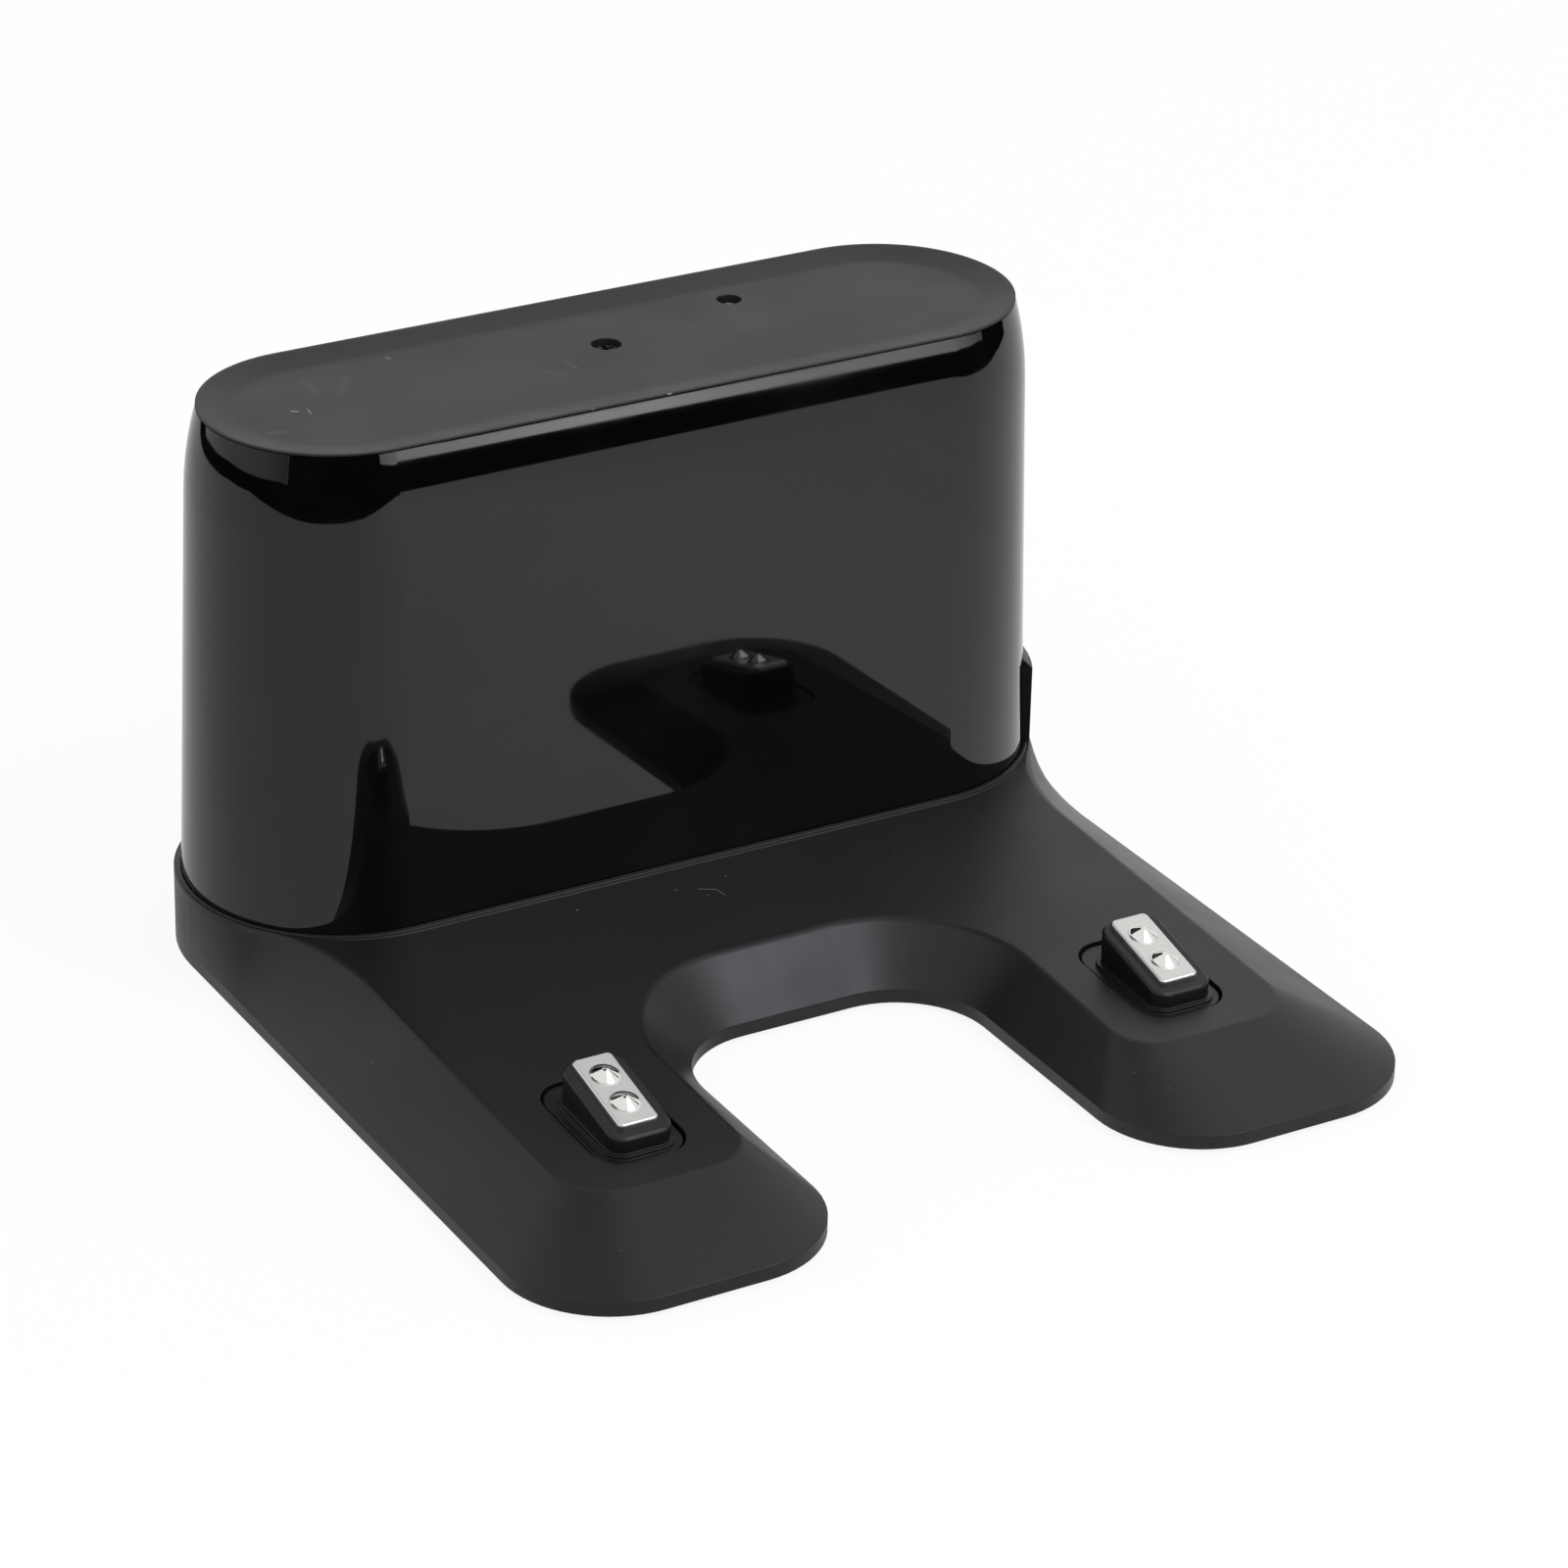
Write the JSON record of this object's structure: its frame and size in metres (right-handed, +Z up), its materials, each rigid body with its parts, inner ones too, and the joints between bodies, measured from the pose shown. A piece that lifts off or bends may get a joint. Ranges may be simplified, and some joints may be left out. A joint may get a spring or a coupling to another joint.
{
  "type": "robot vacuum charging dock",
  "caption": "Free-standing charging dock for a robot vacuum: a round-ended gloss tower on a matte base whose arms carry sprung contacts beside a U-shaped notch.",
  "frame": {"origin": "on the floor, under the middle of the dock's outline", "axes": "+Z is up, +Y points to the back where the tower stands, and the arms reach towards -Y"},
  "size_m": [0.1498, 0.1496, 0.0907],
  "materials": {
    "matte_black_abs": "moulded, fine spark-eroded grain",
    "gloss_black_abs": "moulded, mirror polished",
    "nickel_plate": "bright nickel plate on pressed sheet",
    "black_steel": "black oxide",
    "zinc_steel": "zinc plated",
    "foot_rubber": "moulded",
    "inner_plastic": "moulded",
    "inlet_nylon": "moulded",
    "pin_brass": "turned and pressed",
    "wire_sleeving": "extruded insulation",
    "board_laminate": "green solder mask",
    "ferrite": "sintered",
    "winding_tape": "wound tape",
    "capacitor_can": "shrink sleeve",
    "lamp_body": "moulded resin",
    "clear_acrylic": "clear, polished end",
    "spring_steel": "drawn wire"
  },
  "bodies": {
    "dock": {"base_shell": "matte_black_abs", "base_cover": "matte_black_abs", "top_cap": "matte_black_abs", "cord_bay": "matte_black_abs", "tower_sleeve": "gloss_black_abs", "cap_screw": "black_steel", "base_screws": "black_steel", "frame_screws": "zinc_steel", "rubber_feet": "foot_rubber", "inner_frame": "inner_plastic", "beam_baffle": "inner_plastic", "mains_inlet": "inlet_nylon", "inlet_pins": "pin_brass", "left_spring_terminal": "pin_brass", "right_spring_terminal": "pin_brass", "mains_leads": "wire_sleeving", "left_contact_lead": "wire_sleeving", "right_contact_lead": "wire_sleeving", "power_board": "board_laminate", "control_board": "board_laminate", "transformer_core": "ferrite", "filter_choke": "ferrite", "transformer_winding": "winding_tape", "bulk_capacitor": "capacitor_can", "output_capacitors": "capacitor_can", "status_led": "lamp_body", "ir_emitters": "lamp_body", "light_pipe": "clear_acrylic", "left_contact_spring": "spring_steel", "right_contact_spring": "spring_steel"},
    "left_contact": {"left_contact_block": "matte_black_abs", "left_contact_plate": "nickel_plate"},
    "right_contact": {"right_contact_block": "matte_black_abs", "right_contact_plate": "nickel_plate"}
  },
  "joints": [
    {"name": "left_contact_press", "type": "slide", "parent": "dock", "child": "left_contact", "axis": [0, 0, -1], "range_m": [0, 0.0025], "stiffness_N_per_m": 300, "springref_m": -0.002, "deforming": ["left_contact_spring"]},
    {"name": "right_contact_press", "type": "slide", "parent": "dock", "child": "right_contact", "axis": [0, 0, -1], "range_m": [0, 0.0025], "stiffness_N_per_m": 300, "springref_m": -0.002, "deforming": ["right_contact_spring"]}
  ]
}
